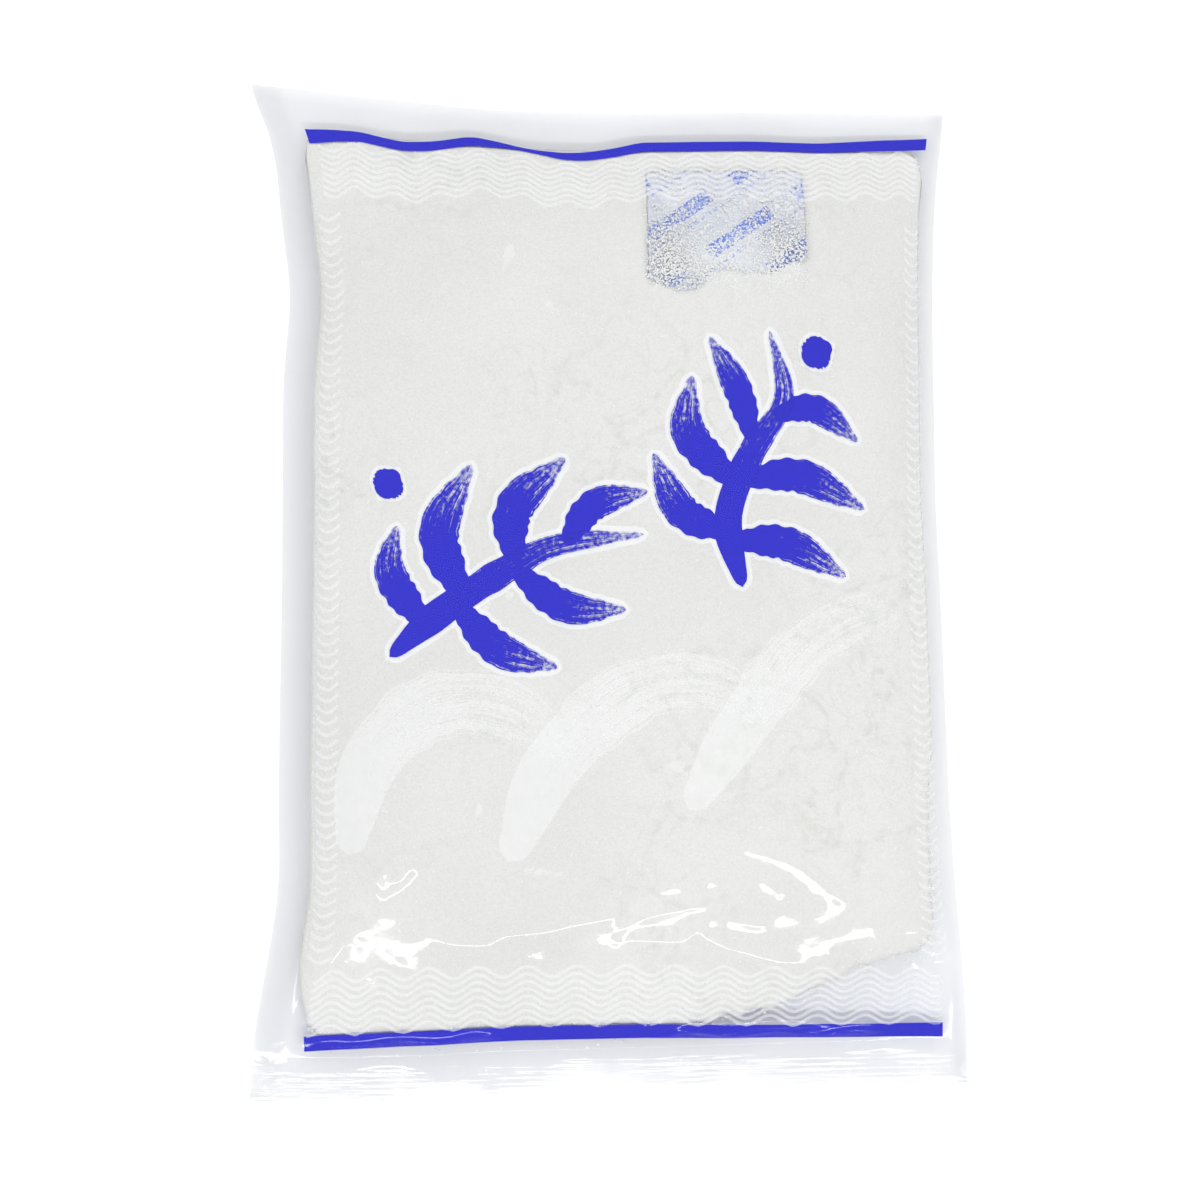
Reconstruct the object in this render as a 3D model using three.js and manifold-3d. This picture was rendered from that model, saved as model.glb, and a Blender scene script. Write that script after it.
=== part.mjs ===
// A sealed clear pouch of salted white tosaka seaweed, lying on its back film.
// Millimetres, +Z up. The origin is on the resting surface under the middle of the pouch,
// +Y runs towards the top seal, and +X to the right of the printed front.
import * as THREE from "three";
import { mergeVertices } from "three/addons/utils/BufferGeometryUtils.js";
import Module from "manifold-3d";

const wasm = await Module();
wasm.setup();

// Driving dimensions of the pouch, measured flat before it was filled
const pouchWidth = 200;
const pouchLength = 280;
const sideSeal = 10;
const topSeal = 10;
const bottomSeal = 13;
const filmThickness = 0.1;
const weldGap = 0.06;
const packHeight = 18.6;

// Where the filled pouch pulls its seals in, and how fast its walls rise from them
const sidePull = 7;
const endPull = 1.5;
const pullReach = 9;
const sideRise = 10.5;
const topRise = 22;
const bottomRise = 18;
const endCurve = 1.3;
const flatShare = 1.25;

// Height of the seam over the resting surface, at the corners and at the middle of each edge
const cornerHeight = 3;
const sideLift = 5.2;
const endLift = 1.6;
const sealDroop = 16;

// The salted filling
const fillClearance = 1;
const bedGap = 0.3;
const bedLevels = [0, 0.34, 0.67, 1];
const bedHalfWidth = 83;
const bedHalfLength = 116;
const bedMiddle = 1.5;
const frondHalfThickness = 0.9;
const pocketGap = 0.4;

// The packet of preservative that lies on the salt under the front film
const sachetWidth = 45;
const sachetLength = 42;
const sachetSeal = 5;
const sachetPlace = { u: 33, v: 101 };
const sachetWeb = 0.12;
const sachetHeight = 3;

const seamSide = pouchWidth / 2 - sideSeal;
const seamTop = pouchLength / 2 - topSeal;
const seamBottom = -(pouchLength / 2 - bottomSeal);
const seamMiddle = (seamTop + seamBottom) / 2;
const seamHalfLength = (seamTop - seamBottom) / 2;

const clamp = THREE.MathUtils.clamp;
const inside = (distance) => Math.max(0, distance);

// How full the pouch is over a point of the flat film: 0 at the seam and nearly 1 in the middle.
function fullness(u, v) {
  const side = 1 - Math.exp(-inside(seamSide - Math.abs(u)) / sideRise);
  const top = 1 - Math.exp(-((inside(seamTop - v) / topRise) ** endCurve));
  const bottom = 1 - Math.exp(-((inside(v - seamBottom) / bottomRise) ** endCurve));
  return side * top * bottom;
}

// The height of the welded seals, which carries on inwards as the level that both films leave from.
function seamHeight(u, v) {
  const s = clamp(Math.abs(u) / seamSide, 0, 1);
  const t = clamp(Math.abs(v - seamMiddle) / seamHalfLength, 0, 1);
  const level = cornerHeight + sideLift * (1 - t ** 3) * s ** 2 + endLift * (1 - s ** 3) * t ** 2;
  const out = inside(Math.abs(u) - seamSide) + inside(v - seamTop) + inside(seamBottom - v);
  return level * Math.exp(-out / sealDroop);
}

// Where a point of the flat film lies in plan once the filling has pulled the seals in.
function planOf(u, v) {
  const sidePulled = sidePull * (1 - Math.abs((2 * v) / pouchLength) ** 4);
  const endPulled = endPull * (1 - Math.abs((2 * u) / pouchWidth) ** 4);
  const fromSide = inside(seamSide - Math.abs(u));
  const fromEnd = inside(v > 0 ? seamTop - v : v - seamBottom);
  return [
    u - Math.sign(u) * sidePulled * Math.exp(-fromSide / pullReach),
    v - Math.sign(v) * endPulled * Math.exp(-fromEnd / pullReach),
  ];
}

const weldOffset = (weldGap + filmThickness) / 2;

// The middle of the front film. The packed fronds lift it a little unevenly.
function frontHeight(u, v) {
  const seam = seamHeight(u, v) + weldOffset;
  const lumps = 0.45 * Math.sin(u / 19 + 0.8) * Math.cos(v / 27 - 0.5) - 0.45;
  return seam + (packHeight - filmThickness / 2 + lumps - seam) * fullness(u, v);
}

// The middle of the back film, which lies flat on the surface under most of the filling.
function backHeight(u, v) {
  const seam = seamHeight(u, v) - weldOffset;
  const bare = inside(1 - flatShare * fullness(u, v)) ** 1.5;
  return seam * bare + (filmThickness / 2) * (1 - bare);
}

const frontFilm = (u, v) => new THREE.Vector3(...planOf(u, v), frontHeight(u, v));
const backFilm = (u, v) => new THREE.Vector3(...planOf(u, v), backHeight(u, v));

// A height inside the pouch: share 0 is on the back film and 1 under the front film.
function fillHeight(u, v, share) {
  const floor = backHeight(u, v) + filmThickness / 2 + fillClearance;
  const roof = frontHeight(u, v) - filmThickness / 2 - fillClearance;
  return floor + share * (roof - floor);
}

// The upward normal of a surface that is given by a function of u and v.
function normalOf(surface, u, v) {
  const step = 0.2;
  const across = surface(u + step, v).sub(surface(u - step, v));
  const along = surface(u, v + step).sub(surface(u, v - step));
  return across.cross(along).normalize();
}

// Moves every vertex of a geometry and closes it up by merging the vertices that meet.
function reshaped(geometry, move) {
  geometry.deleteAttribute("normal");
  geometry.deleteAttribute("uv");
  const positions = geometry.getAttribute("position");
  const point = new THREE.Vector3();
  for (let i = 0; i < positions.count; i += 1) {
    point.fromBufferAttribute(positions, i);
    const moved = move(point);
    positions.setXYZ(i, moved.x, moved.y, moved.z);
  }
  return mergeVertices(geometry, 1e-4);
}

// Lines across a film, close together near the seam where the film curves most.
function stations(seam, edge, steps) {
  const lines = [edge, (seam + edge) / 2];
  for (let k = 0; k < steps; k += 1) lines.push(seam * (1 - (k / steps) ** 1.8));
  return lines;
}

// A box whose upper and lower faces are cut into triangles along the same diagonals.
function slab(width, length, columns, rows) {
  const box = new THREE.BoxGeometry(width, length, 1, columns, rows, 1);
  const corners = box.index.array;
  const under = box.groups.at(-1);
  for (let k = under.start; k < under.start + under.count; k += 6) {
    const [a, b, d, , c] = corners.slice(k, k + 6);
    corners.set([a, b, c, a, c, d], k);
  }
  return box;
}

// A thin closed shell that follows a surface between its lines, the given thickness through.
function shell(acrossLines, alongLines, surface, thickness) {
  const columns = acrossLines.length - 1;
  const rows = alongLines.length - 1;
  return reshaped(slab(columns, rows, columns, rows), (point) => {
    const u = acrossLines[Math.round(point.x + columns / 2)];
    const v = alongLines[Math.round(point.y + rows / 2)];
    return surface(u, v).addScaledVector(normalOf(surface, u, v), point.z * thickness);
  });
}

function filmShell(surface) {
  const side = stations(seamSide, pouchWidth / 2, 6);
  const end = stations(seamHalfLength, pouchLength / 2, 6);
  const across = [...side.map((u) => -u), 0, ...side.toReversed()];
  const along = [
    -pouchLength / 2,
    (seamBottom - pouchLength / 2) / 2,
    ...end.slice(2).map((v) => seamMiddle - v),
    seamMiddle,
    ...end.slice(2).toReversed().map((v) => seamMiddle + v),
    (seamTop + pouchLength / 2) / 2,
    pouchLength / 2,
  ];
  return shell(across, along, surface, filmThickness);
}

// One bed of salt, between two levels of the filling, with its corners rounded.
function bedGeometry(from, to) {
  const columns = 12;
  const rows = 14;
  return reshaped(slab(2, 2, columns, rows), (point) => {
    const across = Math.sign(point.x) * Math.abs(point.x) ** 0.8;
    const along = Math.sign(point.y) * Math.abs(point.y) ** 0.85;
    const corner = point.x > 0 && point.y < 0 ? 0.17 : 0.11;
    const u = across * bedHalfWidth * (1 - corner * Math.abs(along) ** 7);
    const v = bedMiddle + along * bedHalfLength * (1 - 0.6 * corner * Math.abs(across) ** 7);
    const share = point.z > 0 ? to : from;
    const gap = share > 0 && share < 1 ? (-Math.sign(point.z) * bedGap) / 2 : 0;
    return new THREE.Vector3(...planOf(u, v), fillHeight(u, v, share) + gap);
  });
}

// A frond is a flat lobed blade. grow makes the same shape larger all round, to cut its pocket.
function frondGeometry(frond, grow) {
  const ball = new THREE.SphereGeometry(1, 24, 4);
  const turn = THREE.MathUtils.degToRad(frond.turn);
  return reshaped(ball, (point) => {
    const angle = Math.atan2(point.z, point.x);
    const lobe = (0.5 + 0.5 * Math.cos(frond.lobes * angle + frond.phase)) ** 0.8;
    const reach = frond.radius * (0.5 + 0.5 * lobe) * (0.9 + 0.1 * Math.cos(2 * angle + frond.phase));
    const out = (reach + grow) * Math.hypot(point.x, point.z);
    const across = out * Math.cos(angle) * frond.stretch;
    const along = out * Math.sin(angle);
    const u = frond.u + across * Math.cos(turn) - along * Math.sin(turn);
    const v = frond.v + across * Math.sin(turn) + along * Math.cos(turn);
    const half = frondHalfThickness + grow;
    const rise = -Math.sign(point.y) * Math.sqrt(Math.abs(point.y)) * half;
    const sunk = frond.level === 1 ? frondHalfThickness : 0;
    return new THREE.Vector3(...planOf(u, v), fillHeight(u, v, frond.level) - sunk + rise);
  });
}

// Three layers of fronds: two between the beds of salt, and one showing under the front film.
const fronds = [
  { u: -41, v: 60, radius: 40, stretch: 0.96, turn: 15, lobes: 5, phase: 0.4, level: bedLevels[1] },
  { u: 42, v: 52, radius: 39, stretch: 1.02, turn: -30, lobes: 6, phase: 1.1, level: bedLevels[1] },
  { u: -40, v: -58, radius: 41, stretch: 0.95, turn: 50, lobes: 6, phase: 2.0, level: bedLevels[1] },
  { u: 41, v: -56, radius: 40, stretch: 1, turn: 5, lobes: 5, phase: 0.2, level: bedLevels[1] },
  { u: -38, v: 66, radius: 38, stretch: 1.05, turn: -20, lobes: 6, phase: 0.9, level: bedLevels[2] },
  { u: 43, v: 18, radius: 40, stretch: 0.94, turn: 35, lobes: 5, phase: 1.6, level: bedLevels[2] },
  { u: -42, v: -24, radius: 39, stretch: 1, turn: 60, lobes: 5, phase: 0.1, level: bedLevels[2] },
  { u: 36, v: -74, radius: 38, stretch: 1.08, turn: -45, lobes: 6, phase: 2.4, level: bedLevels[2] },
  { u: -44, v: 80, radius: 34, stretch: 1.1, turn: 10, lobes: 5, phase: 0.6, level: 1 },
  { u: 40, v: 32, radius: 37, stretch: 1.05, turn: -15, lobes: 6, phase: 1.9, level: 1 },
  { u: -40, v: -2, radius: 38, stretch: 1.02, turn: 40, lobes: 6, phase: 0.3, level: 1 },
  { u: 38, v: -56, radius: 38, stretch: 0.98, turn: 25, lobes: 5, phase: 2.2, level: 1 },
  { u: -40, v: -82, radius: 34, stretch: 1.12, turn: -10, lobes: 5, phase: 1.3, level: 1 },
];

// The packet's own surfaces hang from the roof of the filling, so that it lies along the front film.
function sachetSurface(side) {
  return (a, b) => {
    const u = sachetPlace.u + a;
    const v = sachetPlace.v + b;
    const fromSide = inside(sachetWidth / 2 - sachetSeal - Math.abs(a));
    const fromEnd = inside(sachetLength / 2 - sachetSeal - Math.abs(b));
    const swell = (1 - Math.exp(-fromSide / 4)) * (1 - Math.exp(-fromEnd / 4));
    const middle = fillHeight(u, v, 1) - sachetHeight / 2;
    const offset = (weldGap + sachetWeb) / 2;
    const half = offset + (sachetHeight / 2 - offset) * swell;
    return new THREE.Vector3(...planOf(u, v), middle + side * half);
  };
}

function sachetLines(length) {
  const seam = length / 2 - sachetSeal;
  const half = [length / 2, seam, seam - 3, seam - 8];
  return [...half.map((line) => -line), 0, ...half.toReversed()];
}

function sachetShell(side) {
  return shell(sachetLines(sachetWidth), sachetLines(sachetLength), sachetSurface(side), sachetWeb);
}

// The granules fill the space between the two webs of the packet.
function granulesGeometry() {
  const top = sachetSurface(1);
  const bottom = sachetSurface(-1);
  return reshaped(slab(2, 2, 6, 6), (point) => {
    const a = point.x * (sachetWidth / 2 - sachetSeal - 2.5) * (1 - 0.06 * point.y ** 6);
    const b = point.y * (sachetLength / 2 - sachetSeal - 2.5) * (1 - 0.06 * point.x ** 6);
    const gap = sachetWeb / 2 + bedGap;
    const up = point.z > 0;
    const place = up ? top(a, b) : bottom(a, b);
    place.z += up ? -gap : gap;
    return place;
  });
}

// The room that the packet takes out of the upper bed.
function sachetPocket() {
  const above = 3;
  return reshaped(slab(2, 2, 4, 4), (point) => {
    const a = point.x * (sachetWidth / 2 + pocketGap);
    const b = point.y * (sachetLength / 2 + pocketGap);
    const u = sachetPlace.u + a;
    const v = sachetPlace.v + b;
    const depth = point.z > 0 ? -above : sachetHeight + pocketGap;
    return new THREE.Vector3(...planOf(u, v), fillHeight(u, v, 1) - depth);
  });
}

function solidOf(geometry) {
  return new wasm.Manifold(
    new wasm.Mesh({
      numProp: 3,
      vertProperties: new Float32Array(geometry.getAttribute("position").array),
      triVerts: new Uint32Array(geometry.index.array),
    }),
  );
}

function geometryOf(solid) {
  const mesh = solid.getMesh();
  return new THREE.BufferGeometry()
    .setAttribute("position", new THREE.BufferAttribute(new Float32Array(mesh.vertProperties), 3))
    .setIndex(new THREE.BufferAttribute(new Uint32Array(mesh.triVerts), 1));
}

// A bed of salt with the pockets of the fronds, and of the packet, that lie in it.
function saltBed(index) {
  const from = bedLevels[index];
  const to = bedLevels[index + 1];
  let bed = solidOf(bedGeometry(from, to));
  for (const frond of fronds) {
    if (frond.level === from || frond.level === to) bed = bed.subtract(solidOf(frondGeometry(frond, pocketGap)));
  }
  if (to === 1) bed = bed.subtract(solidOf(sachetPocket()));
  const pieces = bed.decompose().sort((a, b) => b.volume() - a.volume());
  return geometryOf(pieces[0]);
}

const clearFilm = new THREE.MeshStandardMaterial({
  color: 0xf4f6f8,
  roughness: 0.12,
  metalness: 0,
  transparent: true,
  opacity: 0.3,
});
const salt = new THREE.MeshStandardMaterial({ color: 0xe9e9e5, roughness: 0.85, metalness: 0 });
const seaweed = new THREE.MeshStandardMaterial({ color: 0xdfe0cf, roughness: 0.5, metalness: 0 });
const sachetPaper = new THREE.MeshStandardMaterial({ color: 0xd3d8e2, roughness: 0.45, metalness: 0 });
const granules = new THREE.MeshStandardMaterial({ color: 0xf2f1ec, roughness: 0.9, metalness: 0 });

const pouch = new THREE.Group();

function addPiece(name, geometry, material) {
  geometry.computeVertexNormals();
  const piece = new THREE.Mesh(geometry, material);
  piece.name = name;
  pouch.add(piece);
}

addPiece("pouch_back_film", filmShell(backFilm), clearFilm);
addPiece("pouch_front_film", filmShell(frontFilm), clearFilm);
["salt_bed_lower", "salt_bed_middle", "salt_bed_upper"].forEach((name, index) => {
  addPiece(name, saltBed(index), salt);
});
fronds.forEach((frond, index) => {
  addPiece(`frond_${String(index + 1).padStart(2, "0")}`, frondGeometry(frond, 0), seaweed);
});
addPiece("sachet_back_web", sachetShell(-1), sachetPaper);
addPiece("sachet_front_web", sachetShell(1), sachetPaper);
addPiece("sachet_granules", granulesGeometry(), granules);

export default pouch;
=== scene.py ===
"""A sealed clear pouch of salted white seaweed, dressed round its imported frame.

The pouch lies on its back film. Places on its films are given flat, in millimetres from the
middle of the film as it was before the pouch was filled, and every print follows the film.
"""

from __future__ import annotations

import logging
import math
from collections.abc import Callable
from dataclasses import dataclass, field
from enum import Enum

import bmesh
import bpy
import numpy as np
from mathutils import Euler, Matrix, Vector


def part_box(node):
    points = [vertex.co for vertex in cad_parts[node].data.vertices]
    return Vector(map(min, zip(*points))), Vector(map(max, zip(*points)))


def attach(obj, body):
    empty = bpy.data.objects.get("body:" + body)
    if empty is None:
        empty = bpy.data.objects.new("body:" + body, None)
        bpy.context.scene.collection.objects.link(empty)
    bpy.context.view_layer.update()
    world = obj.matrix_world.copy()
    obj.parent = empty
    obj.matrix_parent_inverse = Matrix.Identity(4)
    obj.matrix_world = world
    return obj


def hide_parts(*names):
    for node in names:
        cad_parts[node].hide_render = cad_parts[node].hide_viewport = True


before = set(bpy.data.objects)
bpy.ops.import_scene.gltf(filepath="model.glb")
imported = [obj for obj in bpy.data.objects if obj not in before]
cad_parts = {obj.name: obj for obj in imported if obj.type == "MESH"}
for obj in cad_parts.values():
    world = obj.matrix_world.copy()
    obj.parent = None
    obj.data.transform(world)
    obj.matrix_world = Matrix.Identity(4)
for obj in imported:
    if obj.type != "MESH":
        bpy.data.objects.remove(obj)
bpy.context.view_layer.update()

log = logging.getLogger("pouch")

MM = 0.001
BODY = "root"

Array = np.ndarray
Point = tuple[float, float]
Route = tuple[Point, ...]
Placing = Callable[[Array, Array], Array]
Shape = bmesh.types.BMesh
Piece = bpy.types.Object
Finish = bpy.types.Material
Socket = bpy.types.NodeSocket


class Slot(Enum):
    """The record's material slots."""

    FILM = "clear_film"
    SALT = "salt"
    SEAWEED = "seaweed"
    SACHET = "sachet_web"
    GRANULES = "granules"
    BLUE_INK = "blue_ink"
    WHITE_INK = "white_ink"


def smooth_step(low: float, high: float, x: Array) -> Array:
    """Returns 0 below low and 1 above high, with a soft ramp between them."""
    t = np.clip((x - low) / (high - low), 0.0, 1.0)
    return t * t * (3.0 - 2.0 * t)


def soft_curve(x: Array, points: Route, reach: float) -> Array:
    """A line through a few points, with its corners rounded.

    Args:
        x: where the line is wanted.
        points: (x, value) pairs in rising order of x.
        reach: how far each corner is rounded.

    Returns:
        The line's value at each x.
    """
    places, values = zip(*points)
    shifts = np.linspace(-reach, reach, 7)
    return sum(np.interp(x + shift, places, values) for shift in shifts) / len(shifts)


def noise(x: Array, y: Array, scale: float, seed: int) -> Array:
    """Smooth random bumps between about -1 and 1.

    Args:
        x: first coordinate of each place.
        y: second coordinate of each place.
        scale: the size of one bump, in the coordinates' unit.
        seed: which random pattern it is.

    Returns:
        The height of the bumps at each place.
    """
    side = 128
    table = np.random.default_rng(seed).uniform(-1.0, 1.0, (side, side))
    gx, gy = x / scale + 1000.0, y / scale + 1000.0
    ix, iy = np.floor(gx).astype(int), np.floor(gy).astype(int)
    fx, fy = gx - ix, gy - iy
    fx, fy = fx * fx * (3 - 2 * fx), fy * fy * (3 - 2 * fy)
    a = table[iy % side, ix % side]
    b = table[iy % side, (ix + 1) % side]
    c = table[(iy + 1) % side, ix % side]
    d = table[(iy + 1) % side, (ix + 1) % side]
    return (a + (b - a) * fx) * (1 - fy) + (c + (d - c) * fx) * fy


def spline(points: Route, count: int) -> Array:
    """A smooth line through a few points.

    Args:
        points: the places that the line passes through.
        count: how many places it is cut into.

    Returns:
        The places along the line, evenly spaced, as a count by 2 array.
    """
    p = np.array(points, float)
    p = np.vstack([2 * p[0] - p[1], p, 2 * p[-1] - p[-2]])
    fine = []
    for k in range(1, len(p) - 2):
        t = np.linspace(0.0, 1.0, 24, endpoint=False)[:, None]
        fine.append(
            0.5 * (2 * p[k] + (p[k + 1] - p[k - 1]) * t
                   + (2 * p[k - 1] - 5 * p[k] + 4 * p[k + 1] - p[k + 2]) * t**2
                   + (3 * p[k] - p[k - 1] - 3 * p[k + 1] + p[k + 2]) * t**3)
        )
    line = np.vstack([*fine, p[-2:-1]])
    along = np.concatenate([[0.0], np.cumsum(np.hypot(*np.diff(line, axis=0).T))])
    even = np.linspace(0.0, along[-1], count)
    return np.column_stack([np.interp(even, along, line[:, 0]), np.interp(even, along, line[:, 1])])


@dataclass(frozen=True)
class Crease:
    """A sharp ridge that slack film makes.

    points is its route over the film, height its rise, reach how wide its sides are, soft how
    round its top is, and run_out the share of its length over which it dies away at each end.
    """

    points: Route
    height: float = 0.7
    reach: float = 3.5
    soft: float = 0.5
    run_out: float = 0.16

    def rise(self, u: Array, v: Array) -> Array:
        """How far the crease lifts the film.

        Args:
            u: places across the film.
            v: places along the film.

        Returns:
            The rise at each place.
        """
        line = spline(self.points, 8 * len(self.points))
        nearest = np.full(u.shape, 1e9)
        share = np.zeros(u.shape)
        for k, (a, b) in enumerate(zip(line[:-1], line[1:])):
            run = b - a
            beside = (u - a[0]) * run[0] + (v - a[1]) * run[1]
            t = np.clip(beside / max(run @ run, 1e-9), 0, 1)
            gap = np.hypot(u - a[0] - t * run[0], v - a[1] - t * run[1])
            closer = gap < nearest
            nearest = np.where(closer, gap, nearest)
            share = np.where(closer, (k + t) / (len(line) - 1), share)
        ends = smooth_step(0, self.run_out, share) * smooth_step(0, self.run_out, 1 - share)
        crest = np.exp(-(np.sqrt(nearest**2 + self.soft**2) - self.soft) / self.reach)
        return self.height * crest * (0.25 + 0.75 * ends)


# The creases of the slack lower third, of the corners and of the end seals.
SLACK_CREASES = (
    Crease(((-53.8, -84), (-52.1, -92), (-47, -96), (-36, -97), (-30.7, -94.7), (-22, -93.8),
            (-12, -91.6), (-2.5, -89.6), (4.5, -85.9), (11.5, -82), (20, -80.6), (27, -77.5)),
           1.0, 4.5),
    Crease(((-3.5, -97), (0.8, -97.9), (4.5, -96.1), (17.7, -96.6), (22.3, -93.8), (25.6, -96.1),
            (35.5, -100), (45.4, -102.3), (56, -104)), 0.9, 4.0),
    Crease(((-2.5, -96.1), (1.7, -92.4), (8.7, -89.6), (18.6, -87.3), (28.5, -86.5)),
           0.5, 2.5, 0.3),
    Crease(((27, -77.5), (23.7, -82.6), (27, -85.4), (25.4, -93)), 0.5, 2.2, 0.3),
    Crease(((32, -61), (35.5, -70), (42.5, -72.7), (49.6, -75.5), (56.1, -80.3), (64.5, -87.5)),
           1.0, 4.0),
    Crease(((39, -78.7), (46.4, -84.2)), 0.45, 2.0, 0.3),
    Crease(((28.9, -90), (41, -92.6)), 0.5, 2.2, 0.3),
    Crease(((29.7, -86.4), (39.6, -89.6)), 0.4, 2.0, 0.3),
    Crease(((-73, -66), (-69.5, -71), (-64, -76.5), (-60, -82)), 0.9, 4.5, 0.8),
    Crease(((-69.5, -81), (-62.5, -74.5), (-55, -76.3)), 0.9, 4.5, 0.8),
    Crease(((-73, -94), (-80, -100.8), (-87.5, -114)), 0.8, 2.5, 0.3),
    Crease(((-62, -101), (-50, -105), (-36, -104)), 0.4, 3.0),
    Crease(((-26, -100.5), (-19, -101.8)), 0.35, 2.0),
    Crease(((84, -68), (94.5, -75.2)), 0.6, 2.0, 0.3),
    Crease(((82, -93.6), (88, -96), (92.5, -103.5), (91, -112)), 1.1, 3.0, 0.4),
    Crease(((100, -98), (92.5, -103.5), (83, -106)), 0.8, 3.0, 0.4),
    Crease(((92, -92), (93.4, -103), (99, -109)), 0.8, 3.0, 0.4),
    Crease(((95.9, -100.8), (96.1, -104.5), (95.7, -108.2)), 1.1, 1.5, 0.3),
    Crease(((92.4, -102.4), (99.2, -105.6)), 0.9, 1.5, 0.3),
    Crease(((92.8, -106.6), (99.0, -101.4)), 0.9, 1.5, 0.3),
    Crease(((-86, -124.4), (-72, -123.9), (-60, -122.5), (-48, -123.6), (-38, -122.3),
            (-30, -122.6)), 1.6, 1.6, 0.25),
    Crease(((12, -123.6), (22, -122.3), (34, -124), (46, -123), (58, -124.6), (70, -123.6),
            (80, -124.4)), 1.6, 1.6, 0.25),
    Crease(((18, -121.6), (30, -123.2), (44, -121.9), (60, -122.6)), 1.2, 1.5, 0.25),
    Crease(((-92, 126), (-84, 131), (-76, 137)), 0.8, 3.0, 0.4),
    Crease(((-62, 135), (-50, 127.5), (-40, 131)), 0.9, 3.2, 0.4),
    Crease(((20, 131), (34, 134), (48, 132)), 0.5, 2.5, 0.4),
    Crease(((-96, 118), (-88, 106), (-86, 92)), 0.9, 4.0, 0.6),
)


@dataclass
class FilmShape:
    """The form of both films of the filled pouch, in millimetres."""

    width: float = 200.0
    length: float = 280.0
    left_seal: float = 8.5
    right_seal: float = 4.5
    top_seal: float = 10.0
    bottom_seal: float = 13.0
    pack_height: float = 18.6
    side_rise: float = 10.5
    top_rise: float = 22.0
    bottom_rise: float = 18.0
    end_curve: float = 1.3
    flat_share: float = 1.25
    corner_height: float = 3.0
    side_lift: float = 5.2
    end_lift: float = 1.6
    seal_droop: float = 16.0
    pull_reach: float = 14.0
    end_pull: float = 1.5
    left_pull: tuple = ((-140, -1.0), (-118, 1.0), (-98, 4.9), (-80, 7.4), (-57, 6.9), (0, 7.5),
                        (60, 7.4), (84, 9.6), (106, 6.2), (122, 4.6), (140, -3.4))
    right_pull: tuple = ((-140, -2.1), (-118, -0.9), (-98, 0.8), (-80, 2.6), (-57, 4.3), (0, 6.3),
                         (28, 7.7), (84, 7.8), (106, 7.1), (122, 5.7), (140, 2.7))
    top_shift: tuple = ((-100, 4.3), (-84, 3.1), (-60, 1.2), (-36, -0.3), (0, -0.9), (40, 0.7),
                        (100, 0.2))
    low_shift: tuple = ((-100, -0.6), (-84, -2.3), (-60, -2.8), (-28, -1.6), (14, -1.1),
                        (70, 0), (100, 1.2))
    half_weld: float = 0.08
    least_seal: float = 0.35
    least_height: float = 0.45
    back_rest: float = 0.05
    rib_pitch: float = 1.6
    cross_step: float = 0.85
    film_step: float = 1.1
    slack_step: float = 0.6
    slack_end: float = -58.0
    seal_step: float = 0.34
    bar_zone: float = 9.0
    us: Array = field(init=False)
    vs: Array = field(init=False)
    places: Array = field(init=False)
    normals: Array = field(init=False)

    def __post_init__(self) -> None:
        """Works out the front film once, so that prints can be laid on it."""
        self.seam_left = self.width / 2 - self.left_seal
        self.seam_right = self.width / 2 - self.right_seal
        self.seam_top = self.length / 2 - self.top_seal
        self.seam_bottom = self.bottom_seal - self.length / 2
        half, bar_end = self.length / 2, self.seam_bottom + self.bar_zone
        self.vs = np.concatenate([
            np.arange(-half, bar_end, self.seal_step),
            np.arange(bar_end, self.slack_end, self.slack_step),
            np.arange(self.slack_end, self.seam_top, self.film_step),
            np.arange(self.seam_top, half + self.seal_step / 2, self.seal_step),
        ])
        self.vs[-1] = half
        count = round(self.width / self.cross_step) + 1
        self.us = np.linspace(-self.width / 2, self.width / 2, count)
        u, v = np.meshgrid(self.us, self.vs)
        self.places = np.dstack([*self.plan(u, v), self.front(u, v)])
        across = np.gradient(self.places, self.us, axis=1)
        along = np.gradient(self.places, self.vs, axis=0)
        normal = np.cross(across, along)
        self.normals = normal / np.linalg.norm(normal, axis=2, keepdims=True)

    def from_side(self, u: Array) -> Array:
        """How far inside the nearer side seam each place lies; it is below 0 in the seal."""
        return np.where(u < 0, self.seam_left + u, self.seam_right - u)

    def fullness(self, u: Array, v: Array) -> Array:
        """How full the pouch is at each place.

        Args:
            u: places across the flat film.
            v: places along the flat film.

        Returns:
            0 at the seams, rising to nearly 1 in the middle.
        """
        from_top = np.maximum(0, self.seam_top - v) / self.top_rise
        from_low = np.maximum(0, v - self.seam_bottom) / self.bottom_rise
        side = 1 - np.exp(-np.maximum(0, self.from_side(u)) / self.side_rise)
        ends = [1 - np.exp(-(share**self.end_curve)) for share in (from_top, from_low)]
        return side * ends[0] * ends[1]

    def seam_height(self, u: Array, v: Array) -> Array:
        """The height of the welded seals, carried on inwards.

        Args:
            u: places across the flat film.
            v: places along the flat film.

        Returns:
            The height at each place.
        """
        middle = (self.seam_top + self.seam_bottom) / 2
        s = np.clip(np.where(u < 0, -u / self.seam_left, u / self.seam_right), 0, 1)
        t = np.clip(np.abs(v - middle) / (self.seam_top - middle), 0, 1)
        level = self.corner_height + self.side_lift * (1 - t**3) * s**2
        level = level + self.end_lift * (1 - s**3) * t**2
        out = np.maximum(0, -self.from_side(u)) + np.maximum(0, v - self.seam_top)
        out = out + np.maximum(0, self.seam_bottom - v)
        wave = 0.8 * noise(u, v, 34, 5) + 0.35 * noise(u, v, 15, 6)
        level = level * np.exp(-out / self.seal_droop)
        return np.maximum(self.least_seal, level + wave * smooth_step(0, 12, out))

    def fold(self, u: Array) -> Array:
        """How far the top seal is folded down towards the panel, left of the middle."""
        return 2.6 * np.exp(-(((u + 24) / 11.0) ** 2))

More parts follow.
